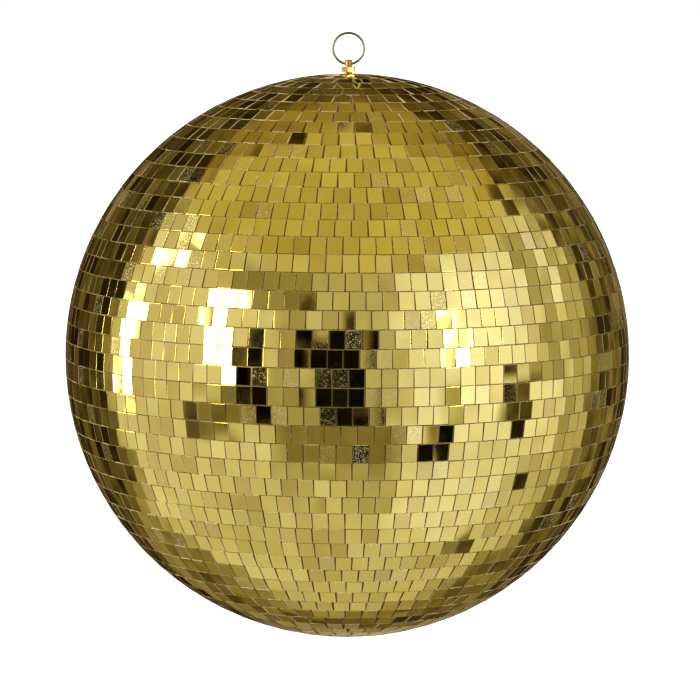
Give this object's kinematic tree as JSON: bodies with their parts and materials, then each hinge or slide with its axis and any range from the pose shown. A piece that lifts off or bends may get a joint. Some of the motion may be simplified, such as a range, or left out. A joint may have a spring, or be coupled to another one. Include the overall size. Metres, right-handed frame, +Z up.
{
  "type": "mirror ball",
  "caption": "Hollow ball covered in level rows of small gold mirror tiles, hung from a wire ring through a post that it turns on",
  "frame": {"origin": "The hanging point, inside the top of the hanging ring, where a hook bears on the wire.", "axes": "Z points up through both poles of the ball. X runs along the cross hole of the post, so the ring stands in the XZ plane. Y completes the right-handed set, and the ball looks alike from every side."},
  "size_m": [0.4005, 0.4004, 0.4297],
  "materials": {
    "ring_wire": "polished wire, darkened",
    "brass_hardware": "polished",
    "zinc_steel": "zinc plated",
    "core_plastic": "tan coat of adhesive over moulded plastic",
    "mirror_gold": "gold-tinted mirror glass"
  },
  "bodies": {
    "ring": {"hanging_ring": "ring_wire"},
    "hanger": {"hanger_post": "brass_hardware", "lock_nut": "brass_hardware", "thrust_washer": "zinc_steel", "retaining_nut": "zinc_steel"},
    "ball": {"swivel_bush": "brass_hardware", "bush_nut": "zinc_steel", "hanger_plate": "zinc_steel", "plate_screws": "zinc_steel", "core_upper_shell": "core_plastic", "core_lower_shell": "core_plastic", "mirror_band_01": "mirror_gold", "mirror_band_02": "mirror_gold", "mirror_band_03": "mirror_gold", "mirror_band_04": "mirror_gold", "mirror_band_05": "mirror_gold", "mirror_band_06": "mirror_gold", "mirror_band_07": "mirror_gold", "mirror_band_08": "mirror_gold", "mirror_band_09": "mirror_gold", "mirror_band_10": "mirror_gold", "mirror_band_11": "mirror_gold", "mirror_band_12": "mirror_gold", "mirror_band_13": "mirror_gold", "mirror_band_14": "mirror_gold", "mirror_band_15": "mirror_gold", "mirror_band_16": "mirror_gold", "mirror_band_17": "mirror_gold", "mirror_band_18": "mirror_gold", "mirror_band_19": "mirror_gold", "mirror_band_20": "mirror_gold", "mirror_band_21": "mirror_gold", "mirror_band_22": "mirror_gold", "mirror_band_23": "mirror_gold", "mirror_band_24": "mirror_gold"}
  },
  "joints": [
    {"name": "ring_swing", "type": "hinge", "parent": "ring", "child": "hanger", "pos_m": [0, 0, -0.02085], "axis": [1, 0, 0], "range_deg": [-105, 105]},
    {"name": "ball_spin", "type": "hinge", "parent": "hanger", "child": "ball", "pos_m": [0, 0, -0.22776], "axis": [0, 0, 1], "continuous": true}
  ]
}
